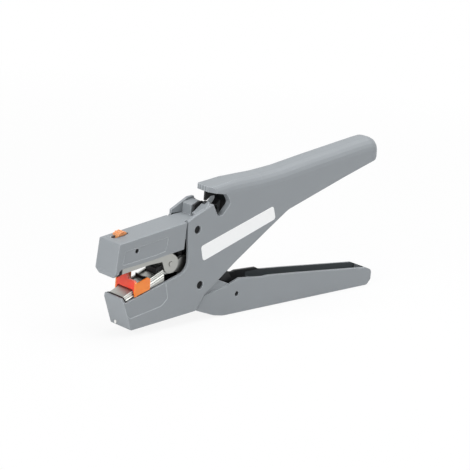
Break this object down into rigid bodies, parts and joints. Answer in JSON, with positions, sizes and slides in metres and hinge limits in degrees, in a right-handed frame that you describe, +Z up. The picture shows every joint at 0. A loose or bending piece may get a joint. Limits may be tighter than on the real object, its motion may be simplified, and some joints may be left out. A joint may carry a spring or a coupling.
{
  "type": "automatic wire stripper",
  "caption": "Pistol-shaped automatic wire stripper: hinged upper jaw, sliding blade carriages, orange length stop, side cutter notch and a squeeze lever.",
  "frame": {"origin": "on the plane of the lever's flat underside, below the middle of the tool's length and width", "axes": "+X from the jaws to the handles, -Y towards the side with the label, +Z up"},
  "size_m": [0.1957, 0.016, 0.0867],
  "materials": {
    "grey_nylon": "fine-grained moulding",
    "black_plastic": "smooth moulding",
    "bright_steel": "ground",
    "dark_steel": "blackened",
    "orange_plastic": "clear-tinted moulding"
  },
  "bodies": {
    "body": {"main_body": "grey_nylon", "jaw_pivot_pin": "dark_steel", "lever_pivot_pin": "dark_steel", "lower_liner": "black_plastic", "lower_clamp_rail": "bright_steel", "nose_pin": "bright_steel", "fixed_cutter_blade": "dark_steel", "return_spring": "dark_steel"},
    "jaw": {"upper_jaw": "grey_nylon", "upper_clamp_pin": "dark_steel", "upper_clamp_jaw": "dark_steel", "moving_cutter_blade": "dark_steel"},
    "adjuster": {"depth_adjuster": "orange_plastic"},
    "upper_slide": {"upper_carriage": "bright_steel", "carriage_rivet_near": "bright_steel", "carriage_rivet_far": "bright_steel", "upper_blade_block": "black_plastic", "upper_blade": "dark_steel"},
    "lower_slide": {"lower_carriage": "bright_steel", "lower_blade_block": "black_plastic", "lower_blade": "dark_steel"},
    "stop": {"length_stop": "orange_plastic"},
    "lever_arm": {"lever": "grey_nylon", "link_pin": "dark_steel"},
    "push_link": {"link": "black_plastic", "link_top_pin": "dark_steel"},
    "crank": {"drive_crank": "black_plastic", "crank_pin": "bright_steel"}
  },
  "joints": [
    {"name": "lever_hinge", "type": "hinge", "parent": "body", "child": "lever_arm", "pos_m": [-0.03785, 0, 0.0208], "axis": [0, -1, 0], "range_deg": [0, 22.5], "stiffness_Nm_per_rad": 0.4, "springref_deg": -28.65, "deforming": ["return_spring"]},
    {"name": "jaw_hinge", "type": "hinge", "parent": "body", "child": "jaw", "pos_m": [-0.04275, 0, 0.0517], "axis": [0, -1, 0], "range_deg": [0, 10.5]},
    {"name": "crank_hinge", "type": "hinge", "parent": "body", "child": "crank", "pos_m": [-0.04275, 0, 0.0517], "axis": [0, -1, 0], "range_deg": [0, 56]},
    {"name": "link_hinge", "type": "hinge", "parent": "lever_arm", "child": "push_link", "pos_m": [-0.00875, 0, 0.011], "axis": [0, 1, 0], "range_deg": [0, 24.6]},
    {"name": "lower_carriage_slide", "type": "slide", "parent": "body", "child": "lower_slide", "axis": [0.9272, 0, 0.3746], "range_m": [0, 0.016]},
    {"name": "upper_carriage_slide", "type": "slide", "parent": "jaw", "child": "upper_slide", "axis": [0.9914, 0, 0.1305], "range_m": [0, 0.016]},
    {"name": "length_stop_slide", "type": "slide", "parent": "body", "child": "stop", "axis": [0.9272, 0, 0.3746], "range_m": [-0.0024, 0.001]},
    {"name": "depth_adjuster_slide", "type": "slide", "parent": "jaw", "child": "adjuster", "axis": [0.9914, 0, 0.1305], "range_m": [-0.002, 0.002]}
  ],
  "couplings": [
    {"joint": "jaw_hinge", "follows": "lever_hinge", "ratio": 0.46667},
    {"joint": "crank_hinge", "follows": "lever_hinge", "ratio": 2.4889},
    {"joint": "link_hinge", "follows": "lever_hinge", "ratio": 1.092},
    {"joint": "lower_carriage_slide", "follows": "lever_hinge", "m_per_rad": 0.040743},
    {"joint": "upper_carriage_slide", "follows": "lever_hinge", "m_per_rad": 0.040743}
  ]
}
